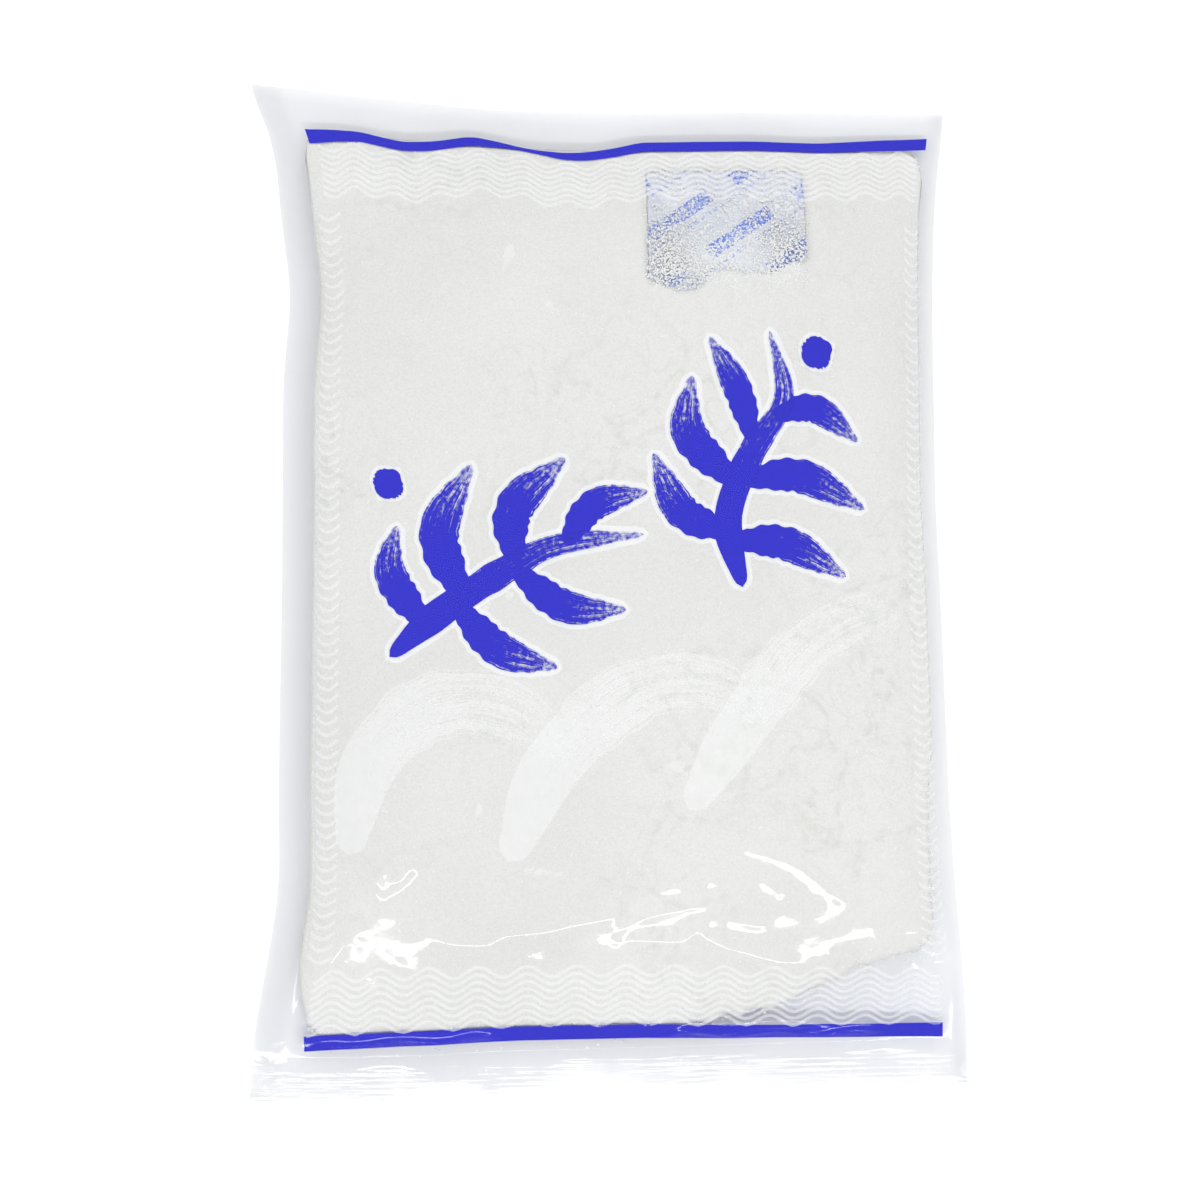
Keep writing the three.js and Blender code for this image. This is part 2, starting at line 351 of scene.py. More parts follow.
    def plan(self, u: Array, v: Array) -> tuple[Array, Array]:
        """Where each place of the flat film lies in plan once the pouch is filled.

        Args:
            u: places across the flat film.
            v: places along the flat film.

        Returns:
            The x and the y of each place.
        """
        pull = np.where(u < 0, soft_curve(v, self.left_pull, 8), soft_curve(v, self.right_pull, 8))
        end = self.end_pull * (1 - np.abs(2 * u / self.width) ** 4)
        from_side = np.maximum(0, self.from_side(u))
        from_end = np.maximum(0, np.where(v > 0, self.seam_top - v, v - self.seam_bottom))
        x = u - np.sign(u) * pull * np.exp(-from_side / self.pull_reach)
        y = v - np.sign(v) * end * np.exp(-from_end / self.pull_reach)
        y = y + soft_curve(u, self.top_shift, 5) * smooth_step(92, 130, v)
        return x, y + soft_curve(u, self.low_shift, 5) * (1 - smooth_step(-130, -92, v))

    def wrinkles(self, u: Array, v: Array) -> Array:
        """The creases and ripples of the film where it is slack.

        Args:
            u: places across the flat film.
            v: places along the flat film.

        Returns:
            How far they lift the film at each place.
        """
        slack = 1 - smooth_step(-92, -48, v)
        top = smooth_step(104, 128, v)
        side = smooth_step(76, 88, np.abs(u))
        loose = np.clip(slack + 0.4 * top + 0.25 * side, 0, 1)
        ripple = 0.42 * noise(u, v, 17, 11) + 0.2 * noise(u + 0.5 * v, v, 8, 12)
        fine = 0.085 * noise(u, v, 4.2, 13)
        creases = sum(crease.rise(u, v) for crease in SLACK_CREASES)
        return loose * (ripple + fine) + creases

    def front(self, u: Array, v: Array) -> Array:
        """The height of the front film.

        Args:
            u: places across the flat film.
            v: places along the flat film.

        Returns:
            The height at each place.
        """
        seam = self.seam_height(u, v) + self.half_weld
        lumps = 0.45 * np.sin(u / 19 + 0.8) * np.cos(v / 27 - 0.5) - 0.45
        lumps = lumps + 0.22 * noise(u, v, 22, 3) + 0.1 * noise(u, v, 9, 4)
        full = self.fullness(u, v)
        height = seam + (self.pack_height - 0.5 + lumps - seam) * full
        out = np.maximum(-self.from_side(u), np.maximum(v - self.seam_top, self.seam_bottom - v))
        press = self.seal_mask(v)
        height = height + self.wrinkles(u, v) * (0.35 + 0.65 * (1 - smooth_step(-2, 6, out)))
        folded = smooth_step(126.5, 132.5, v) * (1 - smooth_step(133, 141, v))
        height = height - self.fold(u) * 0.3 * folded
        strength = 0.04 + 0.035 * noise(u, v, 26, 30)
        ribs = strength * np.sin(math.tau * v / self.rib_pitch + 0.8 * noise(u, v, 20, 31))
        sag = 0.35 * noise(u, v, 11, 32) + 0.15 * noise(u, v, 5, 33)
        return np.maximum(height + sag * press, self.least_height) + ribs * press

    def seal_mask(self, v: Array) -> Array:
        """1 on the ribbed bands of the end seals and 0 elsewhere."""
        return 1 - smooth_step(-131.5, -129.5, v) + smooth_step(133, 134.5, v)

    def back(self, u: Array, v: Array) -> Array:
        """The height of the back film, flat under most of the filling.

        Args:
            u: places across the flat film.
            v: places along the flat film.

        Returns:
            The height at each place.
        """
        seam = self.seam_height(u, v) - self.half_weld
        full = self.fullness(u, v)
        bare = np.maximum(0, 1 - self.flat_share * full) ** 1.5
        ripple = 0.5 * noise(u, v, 14, 21) * bare * smooth_step(0.02, 0.4, full)
        return np.maximum(seam * bare + self.back_rest + ripple, self.back_rest)

    def at(self, u: Array, v: Array, lift: float | Array = 0.0) -> Array:
        """Places on or over the front film.

        Args:
            u: places across the flat film.
            v: places along the flat film.
            lift: how far over the film, along its normal.

        Returns:
            The places in millimetres, one row each.
        """
        i = np.clip(np.searchsorted(self.us, u) - 1, 0, len(self.us) - 2)
        j = np.clip(np.searchsorted(self.vs, v) - 1, 0, len(self.vs) - 2)
        a = np.clip((u - self.us[i]) / (self.us[i + 1] - self.us[i]), 0, 1)[..., None]
        b = np.clip((v - self.vs[j]) / (self.vs[j + 1] - self.vs[j]), 0, 1)[..., None]

        def mixed(grid: Array) -> Array:
            """Mixes the values of a grid at the four crossings round each place.

            Args:
                grid: the values at the crossings.

            Returns:
                The mixed values.
            """
            low = grid[j, i] * (1 - a) + grid[j, i + 1] * a
            high = grid[j + 1, i] * (1 - a) + grid[j + 1, i + 1] * a
            return low * (1 - b) + high * b

        normal = mixed(self.normals)
        normal = normal / np.linalg.norm(normal, axis=-1, keepdims=True)
        return mixed(self.places) + normal * np.asarray(lift)[..., None]


FILM = FilmShape()


class Nodes:
    """A material's node tree, built from its textures up to its shader."""

    def __init__(self, name: str) -> None:
        """Starts an empty material.

        Args:
            name: its name.
        """
        self.material = bpy.data.materials.new(name)
        self.material.use_nodes = True
        self.tree = self.material.node_tree
        self.tree.nodes.clear()
        self.output = self.tree.nodes.new("ShaderNodeOutputMaterial")

    def add(self, kind: str, settings: dict | None = None, **inputs: object) -> bpy.types.Node:
        """Adds a node.

        Args:
            kind: the node's type, without ShaderNode.
            settings: attributes of the node itself.
            inputs: values or output sockets for its inputs, by name with _ for a space, or
                as i0, i1 and so on by number.

        Returns:
            The new node.
        """
        node = self.tree.nodes.new("ShaderNode" + kind)
        for key, value in (settings or {}).items():
            setattr(node, key, value)
        for key, value in inputs.items():
            numbered = key[0] == "i" and key[1:].isdigit()
            socket = node.inputs[int(key[1:]) if numbered else key.replace("_", " ")]
            if isinstance(value, Socket):
                self.tree.links.new(value, socket)
            else:
                socket.default_value = value
        return node

    def object_place(self) -> Socket:
        """The place of each point, in metres."""
        return self.add("TexCoord").outputs["Object"]

    def speckle(self, scale: float, detail: float = 3.0, place: Socket | None = None) -> Socket:
        """Random grain.

        Args:
            scale: how many grains a metre holds.
            detail: how many finer layers it has.
            place: where it is read, or None for the object's own place.

        Returns:
            The grain's strength.
        """
        vector = place or self.object_place()
        return self.add("TexNoise", Vector=vector, Scale=scale, Detail=detail).outputs["Fac"]

    def ramp(self, value: Socket, *stops: tuple[float, tuple]) -> Socket:
        """Turns a strength into a colour.

        Args:
            value: the strength.
            stops: (strength, colour) pairs.

        Returns:
            The colour.
        """
        node = self.add("ValToRGB", Fac=value)
        elements = node.color_ramp.elements
        while len(elements) < len(stops):
            elements.new(0.5)
        for element, (place, colour) in zip(elements, stops):
            element.position = place
            element.color = (*colour, 1.0)
        return node.outputs["Color"]

    def span(self, value: Socket, low: float, high: float, out_low: float = 0.0,
             out_high: float = 1.0) -> Socket:
        """Stretches the values between low and high over another span, and clips them there."""
        return self.add("MapRange", {"clamp": True}, Value=value, From_Min=low, From_Max=high,
                        To_Min=out_low, To_Max=out_high).outputs["Result"]

    def math(self, kind: str, a: object, b: object = 0.0) -> Socket:
        """One sum of two values."""
        return self.add("Math", {"operation": kind}, i0=a, i1=b).outputs[0]

    def times(self, a: object, b: object) -> Socket:
        """The product of two values."""
        return self.math("MULTIPLY", a, b)

    def over(self, a: object, b: object) -> Socket:
        """One value divided by another."""
        return self.math("DIVIDE", a, b)

    def plus(self, a: object, b: object) -> Socket:
        """The sum of two values."""
        return self.math("ADD", a, b)

    def minus(self, a: object, b: object) -> Socket:
        """The difference of two values."""
        return self.math("SUBTRACT", a, b)

    def within(self, value: Socket, limit: float) -> Socket:
        """1 where a value is nearer to 0 than the limit, and 0 elsewhere."""
        return self.math("LESS_THAN", self.math("ABSOLUTE", value), limit)

    def bump(self, height: Socket, distance: float, strength: float = 1.0) -> Socket:
        """A normal that follows small heights, in metres."""
        bumps = self.add("Bump", Height=height, Distance=distance, Strength=strength)
        return bumps.outputs["Normal"]

    def mixed(self, share: object, first: object, second: object, kind: str = "MIX") -> Socket:
        """A share of the second colour laid over the first."""
        node = self.add("MixRGB", {"blend_type": kind}, Fac=share, Color1=first, Color2=second)
        return node.outputs[0]

    def plain(self, colour: Socket, rough: object, normal: Socket) -> Finish:
        """Finishes an opaque material."""
        shader = self.add("BsdfPrincipled", Base_Color=colour, Roughness=rough, Normal=normal)
        return self.finish(shader)

    def finish(self, shader: bpy.types.Node) -> Finish:
        """Connects the shader and returns the material."""
        self.tree.links.new(shader.outputs[0], self.output.inputs["Surface"])
        return self.material


@dataclass(frozen=True)
class ClearFilm:
    """Glossy clear film, with painted shade at the side seals and a knurl pressed into its end
    seals.

    tint is what it lets through, and the side seals let through a darker tint, painted shade for
    the shadow under them; gloss is its roughness, knurl the pitch of the pressed pattern, and
    mirror how much it reflects where it is seen straight on.
    """

    tint: tuple = (0.915, 0.92, 0.928, 1.0)
    # Painted shade: a darker tint for the side seals, standing for the shadow under them.
    margin_shade: tuple = (0.893, 0.898, 0.907, 1.0)
    gloss: float = 0.07
    knurl: float = 0.00085
    mirror: float = 0.045

    def material(self) -> Finish:
        """Builds the film's material.

        Returns:
            The material.
        """
        n = Nodes("clear_film")
        place = n.object_place()
        seal = n.add("Attribute", {"attribute_name": "seal"}).outputs["Fac"]
        turn = n.add("Mapping", Vector=place, Rotation=(0, 0, math.radians(45)))
        split = n.add("SeparateXYZ", Vector=turn.outputs[0])
        pitch = math.tau / self.knurl
        waves = [n.math("SINE", n.times(split.outputs[axis], pitch)) for axis in ("X", "Y")]
        knurl = n.times(n.times(waves[0], waves[1]), seal)
        crinkle = n.speckle(420, 4, place)
        height = n.plus(n.times(knurl, 0.13), n.times(crinkle, 0.5))
        normal = n.bump(height, 0.00012, 0.8)
        rough = n.span(n.speckle(90, 2, place), 0.35, 0.7, self.gloss * 0.7, self.gloss * 1.6)
        # Painted shade: the side seals let less light through, standing for the shadow that falls
        # under them.
        margin_shade = n.add("Attribute", {"attribute_name": "margin_shade"}).outputs["Fac"]
        clear = n.add("BsdfTransparent", Color=n.mixed(margin_shade, self.tint, self.margin_shade))
        gloss = n.add("BsdfGlossy", Roughness=rough, Normal=normal)
        facing = n.add("LayerWeight", Blend=0.5, Normal=normal).outputs["Facing"]
        edge = n.span(n.math("POWER", facing, 5.0), 0.0, 1.0, self.mirror, 1.0)
        mixed = n.add("MixShader", i0=edge, i1=clear.outputs[0], i2=gloss.outputs[0])
        return n.finish(mixed)


@dataclass(frozen=True)
class Salt:
    """Fine white salt packed round pale seaweed, with faint grey-green edges of fronds in it."""

    name: str = "packed_salt"
    white: tuple = (0.77, 0.766, 0.737)
    grey: tuple = (0.73, 0.727, 0.7)
    green: tuple = (0.6, 0.61, 0.555)

    def material(self) -> Finish:
        """Builds the salt's material.

        Returns:
            The material.
        """
        n = Nodes(self.name)
        place = n.object_place()
        drift = n.add("TexNoise", Vector=place, Scale=38.0, Detail=5.0)
        bent = n.add("VectorMath", {"operation": "MULTIPLY_ADD"}, i0=drift.outputs["Color"],
                     i1=(0.03, 0.03, 0.03), i2=place).outputs[0]
        edges = [n.add("TexVoronoi", {"feature": "DISTANCE_TO_EDGE"}, Vector=bent,
                       Scale=scale).outputs["Distance"] for scale in (46.0, 130.0)]
        vein = n.span(edges[0], 0.0, 0.075, 1.0, 0.0)
        thread = n.span(edges[1], 0.0, 0.1, 0.55, 0.0)
        where = n.span(n.speckle(21, 4, place), 0.46, 0.64)
        faint = n.times(n.math("MAXIMUM", vein, thread), where)
        broken = n.times(faint, n.span(n.speckle(330, 3, place), 0.38, 0.62))
        base = n.ramp(n.speckle(17, 6, place), (0.36, self.grey), (0.6, self.white))
        tone = n.mixed(n.times(broken, 0.62), base, (*self.green, 1.0))
        grain = n.speckle(1500, 4, place)
        shade = n.ramp(grain, (0.3, (0.93, 0.93, 0.93)), (0.62, (1.0, 1.0, 1.0)))
        colour = n.mixed(1.0, tone, shade, "MULTIPLY")
        return n.plain(colour, 0.82, n.bump(n.plus(grain, n.speckle(420, 5, place)), 0.0004, 0.5))


@dataclass(frozen=True)
class Seaweed:
    """Bleached frond, pale and a little glassy, with salt on it."""

    pale: tuple = (0.77, 0.775, 0.735)
    deep: tuple = (0.69, 0.7, 0.65)
    crust: tuple = (0.79, 0.786, 0.755, 1.0)

    def material(self) -> Finish:
        """Builds the seaweed's material.

        Returns:
            The material.
        """
        n = Nodes("bleached_seaweed")
        place = n.object_place()
        base = n.ramp(n.speckle(60, 6, place), (0.36, self.deep), (0.56, self.pale))
        crust = n.span(n.speckle(620, 5, place), 0.38, 0.6)
        colour = n.mixed(crust, base, self.crust)
        rough = n.span(crust, 0.0, 1.0, 0.42, 0.85)
        return n.plain(colour, rough, n.bump(n.plus(crust, n.speckle(240, 5, place)), 0.0003, 0.25))


@dataclass(frozen=True)
class SachetFilm:
    """Pale blue-grey packet film, printed with rows of slanting blue bands and fine dashes.

    middle is the packet's middle in metres, slant the turn of the rows in degrees, row and
    repeat the pitch of the bands, shift how far each row is moved along, and dash the fine ones'.
    """

    ground: tuple = (0.69, 0.715, 0.78)
    shade: tuple = (0.6, 0.625, 0.7)
    blue: tuple = (0.1, 0.19, 0.66)
    dust: tuple = (0.84, 0.84, 0.83)
    middle: tuple = (0.0352, 0.1019, 0.0)
    slant: float = 36.0
    row: float = 0.0138
    shift: float = 0.0114
    band: float = 0.0042
    band_length: float = 0.0225
    repeat: float = 0.031
    dash: float = 0.0023
    dash_width: float = 0.0012
    dash_place: float = -0.0043

    def material(self) -> Finish:
        """Builds the packet's material.

        Returns:
            The material.
        """
        n = Nodes("sachet_film")
        place = n.object_place()
        turn = n.add("Mapping", {"vector_type": "TEXTURE"}, Vector=place,
                     Rotation=(0, 0, math.radians(self.slant)), Location=self.middle)
        split = n.add("SeparateXYZ", Vector=turn.outputs[0])
        rows = n.plus(n.over(split.outputs["Y"], self.row), 0.5)
        row = n.math("FLOOR", rows)
        across = n.times(n.minus(n.minus(rows, row), 0.5), self.row)
        along = n.plus(split.outputs["X"], n.times(row, self.shift))
        turns = n.plus(n.over(along, self.repeat), 0.5)
        run = n.times(n.minus(n.minus(turns, n.math("FLOOR", turns)), 0.5), self.repeat)
        bar = n.times(n.within(across, self.band / 2), n.within(run, self.band_length / 2))
        dash = n.math("FRACT", n.plus(n.over(along, self.dash), 50.0))
        low = n.within(n.minus(across, self.dash_place), self.dash_width / 2)
        dashes = n.times(low, n.math("LESS_THAN", dash, 0.62))
        cover = n.math("MAXIMUM", bar, n.times(dashes, 0.55))
        worn = n.times(cover, n.span(n.speckle(1500, 4, place), 0.38, 0.5))
        base = n.ramp(n.speckle(160, 4, place), (0.35, self.shade), (0.65, self.ground))
        printed = n.mixed(worn, base, (*self.blue, 1.0))
        where = n.span(n.speckle(85, 3, place), 0.44, 0.64, 0.0, 0.9)
        dust = n.times(n.span(n.speckle(1150, 3, place), 0.47, 0.54), where)
        colour = n.mixed(dust, printed, (*self.dust, 1.0))
        return n.plain(colour, 0.4, n.bump(n.plus(n.speckle(300, 5, place), dust), 0.0004, 0.5))


@dataclass(frozen=True)
class Granules:
    """Small white granules, seen only where the packet is opened, each painted darker towards its
    edge as shade between them.
    """

    pale: tuple = (0.88, 0.87, 0.84)
    deep: tuple = (0.6, 0.59, 0.56)

    def material(self) -> Finish:
        """Builds the granules' material.

        Returns:
            The material.
        """
        n = Nodes("granules")
        place = n.object_place()
        bead = n.add("TexVoronoi", Vector=place, Scale=700.0).outputs["Distance"]
        # Painted shade: each granule is pale in its middle and darker towards its edge, where it
        # meets the next.
        colour = n.ramp(bead, (0.1, self.pale), (0.8, self.deep))
        return n.plain(colour, 0.9, n.bump(bead, 0.0008, 0.8))


@dataclass(frozen=True)
class Ink:
    """Printing ink on the inside of the film.

    colour is its colour, cover how opaque it is, dry how streaky it runs towards a stroke's
    end, and worn how streaky it is from the start.
    """

    name: str
    colour: tuple
    cover: float = 1.0
    dry: float = 0.0
    worn: float = 0.3

    def material(self) -> Finish:
        """Builds the ink's material.

        Returns:
            The material.
        """
        n = Nodes(self.name)
        place = n.object_place()
        low = tuple(0.96 * c for c in self.colour)
        colour = n.ramp(n.speckle(260, 4, place), (0.35, low), (0.6, self.colour))
        shader = n.add("BsdfPrincipled", Base_Color=colour, Roughness=0.6, Alpha=self.cover)
        shader.inputs["Specular IOR Level"].default_value = 0.1
        if not self.dry:
            return n.finish(shader)
        uv = n.add("UVMap", {"uv_map": "UVMap"}).outputs[0]
        split = n.add("SeparateXYZ", Vector=uv)
        hairs = n.add("Mapping", Vector=uv, Scale=(2.2, 26.0, 1.0))
        streak = n.add("TexNoise", Vector=hairs.outputs[0], Scale=1.0, Detail=5.0, Roughness=0.7)
        grain = n.speckle(900.0, 3.0, place)
        mixed = n.plus(n.times(streak.outputs["Fac"], 0.75), n.times(grain, 0.25))
        worn = n.times(n.math("POWER", split.outputs["X"], 1.6), self.dry)
        rim = n.math("ABSOLUTE", n.minus(split.outputs["Y"], 0.5))
        ragged = n.times(n.math("POWER", n.times(rim, 2.0), 6.0), 0.3 * self.dry)
        level = n.plus(n.plus(worn, ragged), self.worn)
        alpha = n.span(n.minus(mixed, level), 0.0, 0.05, 0.0, self.cover)
        n.tree.links.new(alpha, shader.inputs["Alpha"])
        return n.finish(shader)


BLUE = (0.006, 0.005, 0.545)
WHITE = (0.89, 0.893, 0.895)
DRY_WHITE = (0.89, 0.893, 0.89)
GREY_BLUE = (0.16, 0.2, 0.36)
# A paler, cooler copy of the salt for the loose grains. It is painted lighter than the packed salt,
# painted light that makes up for the shade the grains lie in.
BRIGHTENED_LOOSE_SALT = ((0.86, 0.86, 0.85), (0.84, 0.84, 0.83), (0.78, 0.78, 0.77))


class Finishes:
    """Every material of the pouch, built once."""

    def __init__(self) -> None:
        """Builds the materials."""
        self.film = ClearFilm().material()
        self.salt = Salt().material()
        # The loose grains take a lighter copy of the salt: painted light that makes up for their
        # shade.
        self.grains = Salt("brightened_loose_salt", *BRIGHTENED_LOOSE_SALT).material()
        self.seaweed = Seaweed().material()
        self.sachet = SachetFilm().material()
        self.granules = Granules().material()
        self.blue = Ink("blue_ink", BLUE).material()
        self.dry_blue = Ink("dry_blue_ink", BLUE, dry=0.2).material()
        self.back_blue = Ink("back_ink", GREY_BLUE, cover=0.7, dry=0.1).material()
        self.white = Ink("white_ink", WHITE, cover=0.42).material()
        self.outline = Ink("white_outline_ink", WHITE, cover=0.62).material()
        self.dry_white = Ink("dry_white_ink", DRY_WHITE, 0.36, dry=0.17, worn=0.35).material()


def add_object(name: str, bm: Shape, material: Finish,
               smooth: bool = True, shades: bool = True) -> Piece:
    """Makes a finished piece of a mesh and lets it ride on the pouch.

    Args:
        name: the piece's name.
        bm: its shape, which is freed.
        material: its material.
        smooth: whether its faces are shaded smooth.
        shades: whether it shades what lies under it, which thin white ink doesn't.

    Returns:
        The new object.
    """
    mesh = bpy.data.meshes.new(name)
    bm.to_mesh(mesh)
    bm.free()
    mesh.materials.append(material)
    mesh.polygons.foreach_set("use_smooth", [smooth] * len(mesh.polygons))
    piece = bpy.data.objects.new(name, mesh)
    piece.visible_shadow = shades
    piece.visible_diffuse = shades
    bpy.context.scene.collection.objects.link(piece)
    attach(piece, BODY)
    return piece


def new_bmesh() -> Shape:
    """A bmesh that holds a UV map.

    Returns:
        The empty bmesh.
    """
    bm = bmesh.new()
    bm.loops.layers.uv.new("UVMap")
    return bm


def add_patch(bm: Shape, columns: int, rows: int, place: Placing) -> list[bmesh.types.BMVert]:
    """Adds a grid and moves its corners to their places.

    Args:
        bm: the mesh that takes it.
        columns: faces across.
        rows: faces along.
        place: a function from arrays s and t, 0 to 1, to places in millimetres.

    Returns:
        The grid's vertices.
    """
    made = bmesh.ops.create_grid(bm, x_segments=columns, y_segments=rows, size=0.5, calc_uvs=True)
    verts = made["verts"]
    st = np.array([(vert.co.x, vert.co.y) for vert in verts]) + 0.5
    for vert, point in zip(verts, place(st[:, 0], st[:, 1]) * MM):
        vert.co = point
    return verts


@dataclass
class Pouch:
    """The two clear films, welded together all round."""

    finishes: Finishes
    least_gap: float = 0.12
    # How far the painted shade of the side seals ramps in, in millimetres outside the seam.
    margin_shade_reach: tuple = (-1.0, 2.5)

    def build(self) -> list[Piece]:
        """Builds and dresses both films."""
        return [self.front(), self.back()]

    def front(self) -> Piece:
        """The printed front film."""
        return self.film("film_front", "pouch_front_film", FILM.us, FILM.vs, FILM.places)

    def back(self) -> Piece:
        """The plain back film, which stays under the front one.

        Returns:
            The film.
        """
        half = FILM.length / 2
        us = np.linspace(-FILM.width / 2, FILM.width / 2, 141)
        vs = np.concatenate([
            np.linspace(-half, FILM.seam_bottom, 30, endpoint=False),
            np.linspace(FILM.seam_bottom, FILM.seam_top, 150),
            np.linspace(FILM.seam_top + 0.4, half, 24),
        ])
        u, v = np.meshgrid(us, vs)
        level = np.minimum(FILM.back(u, v), FILM.at(u, v)[..., 2] - self.least_gap)
        places = np.dstack([*FILM.plan(u, v), level])
        return self.film("film_back", "pouch_back_film", us, vs, places)

    def film(self, name: str, node: str, us: Array, vs: Array, places: Array) -> Piece:
        """Builds one film and marks its ribbed seals, and its side seals for painted shade.

        Args:
            name: the film's name.
            node: the CAD film that it takes the place of.
            us: where its grid's lines run across the flat film.
            vs: where its grid's lines run along the flat film.
            places: where each crossing of the grid lies, in millimetres.

        Returns:
            The film.
        """
        bm = new_bmesh()
        columns, rows = len(us) - 1, len(vs) - 1

        def place(s: Array, t: Array) -> Array:
            """A place on the film."""
            return places[np.rint(t * rows).astype(int), np.rint(s * columns).astype(int)]

        add_patch(bm, columns, rows, place)
        if node == "pouch_back_film":
            bmesh.ops.reverse_faces(bm, faces=bm.faces)
        piece = add_object(name, bm, self.finishes.film)
        u, v = np.meshgrid(us, vs)
        # The side seals are marked for painted shade: the film is tinted darker there, for the
        # shadow under them.
        margin_shade = smooth_step(*self.margin_shade_reach, -FILM.from_side(u))
        for mark, share in {"seal": FILM.seal_mask(v), "margin_shade": margin_shade}.items():
            values = piece.data.attributes.new(mark, "FLOAT", "POINT")
            values.data.foreach_set("value", share.ravel().astype(np.float32))
        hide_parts(node)
        return piece


SACHET_U, SACHET_V = 31.8, 101.0


@dataclass
class Filling:
    """The salt, the fronds that show in it, and loose grains."""

    finishes: Finishes
    film_gap: float = 0.55
    floor_gap: float = 0.25
    left: float = -91.35
    right: float = 95.35
    high: float = 128.4
    low: tuple = ((0, -121.5), (0.6, -121.8), (0.74, -116), (0.85, -105.5), (1, -99))
    drawn_in: float = 3.2
    packet_hollow: float = 1.8
    columns: int = 150
    rows: int = 208
    grain_doublings: int = 13
    grain_inset: float = 1.5
    highest_grain: float = 126.0

    def low_edge(self, s: Array) -> Array:
        """Where the salt ends towards the bottom seal. It is pulled up at the right corner."""
        corner = np.clip((np.abs(2 * s - 1) - 0.86) / 0.14, 0, 1) ** 3
        return soft_curve(s, self.low, 0.02) + np.where(s < 0.5, 24, 8) * corner

    def high_edge(self, s: Array) -> Array:
        """Where the salt ends towards the top seal."""
        return self.high - 9 * np.clip((np.abs(2 * s - 1) - 0.9) / 0.1, 0, 1) ** 3

    def outline(self, s: Array, t: Array) -> tuple[Array, Array]:
        """Lays a grid over the salt, with a ragged rim.

        Args:
            s: the share of the way across, from 0 to 1.
            t: the share of the way along, from 0 to 1.

        Returns:
            The place of each crossing on the flat film.
        """
        u = self.left + s * (self.right - self.left)
        v = self.low_edge(s) + t * (self.high_edge(s) - self.low_edge(s))
        ragged = 1.1 * noise(u, v, 4.5, 41) + 0.7 * noise(u, v, 2.2, 42)
        side = smooth_step(0.9, 1.0, np.abs(2 * s - 1)) * np.sign(2 * s - 1)
        low = smooth_step(0.9, 1.0, 1 - 2 * t)
        thin = self.drawn_in * smooth_step(0.9, 1.0, 2 * s - 1) * (1 - smooth_step(-72, -38, v))
        u = u + 0.25 * ragged * side - thin
        return np.clip(u, self.left - 0.1, self.right + 0.1), v - ragged * low

    def depth(self, u: Array, v: Array) -> Array:
        """How deep the top of the salt lies under the front film.

        Args:
            u: places across the flat film.
            v: places along the flat film.

        Returns:
            The depth at each place. It is more under the packet, and little at the seams.
        """
        bumps = 0.22 * noise(u, v, 10, 43) + 0.16 * noise(u, v, 3.6, 44)
        bumps = bumps + 0.1 * noise(u, v, 1.7, 45)
        lap = np.abs(noise(u + 6 * noise(u, v, 13, 46), v + 6 * noise(u, v, 13, 47), 15, 48))
        seams = 0.35 * np.exp(-lap / 0.05)
        packet = 1 - smooth_step(21.5, 24.5, np.abs(u - SACHET_U))
        heap = 5.5 * noise(u, v, 10, 49) + 3.0 * noise(u, v, 3, 50)
        packet = packet * smooth_step(-14.5, -8.0, v - SACHET_V + heap)
        packet = packet * (1 - smooth_step(20.5, 23.5, v - SACHET_V))
        inner = smooth_step(0, 9, np.minimum(FILM.from_side(u), FILM.seam_top - v))
        depth = (self.film_gap + bumps + seams) * (0.3 + 0.7 * inner)
        return np.maximum(depth, 0.3 * inner + 0.18) + self.packet_hollow * packet

    def build(self) -> list[Piece]:
        """Builds and dresses the filling."""
        return [self.salt(), self.grains(), *self.fronds()]

    def salt(self) -> Piece:
        """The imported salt, as one mass.

        Returns:
            The mass, in the place of its three beds.
        """
        bm = new_bmesh()

        def place(s: Array, t: Array, top: bool = False) -> Array:
            """A place on the top or the underside of the salt, which meet at its rim.

            Args:
                s: the share of the way across.
                t: the share of the way along.
                top: whether it is on the top.

            Returns:
                The places, one row each.
            """
            u, v = self.outline(s, t)
            roof = FILM.at(u, v, -self.depth(u, v))
            floor = FILM.back(u, v) + self.floor_gap
            rim = np.maximum(np.abs(2 * s - 1), np.abs(2 * t - 1))
            share = np.sqrt(1 - np.clip((rim - 0.975) / 0.025, 0, 1) ** 2)
            middle = 0.45 * floor + 0.55 * roof[:, 2]
            level = roof[:, 2] if top else np.minimum(floor, roof[:, 2] - 0.3)
            return np.column_stack([roof[:, :2], middle + (level - middle) * share])

        under = add_patch(bm, self.columns, self.rows, place)
        number = {tuple(vert.co): k for k, vert in enumerate(under)}
        row, column = np.divmod(np.arange(len(under)), self.columns + 1)
        tops = place(column / self.columns, row / self.rows, True) * MM
        raised = bmesh.ops.extrude_face_region(bm, geom=list(bm.faces))
        for vert in raised["geom"]:
            if isinstance(vert, bmesh.types.BMVert):
                vert.co = tops[number[tuple(vert.co)]]
        bmesh.ops.remove_doubles(bm, verts=bm.verts, dist=1e-6)
        bmesh.ops.recalc_face_normals(bm, faces=bm.faces)
        piece = add_object("salt_mass", bm, self.finishes.salt)
        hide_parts("salt_bed_lower", "salt_bed_middle", "salt_bed_upper")
        return piece

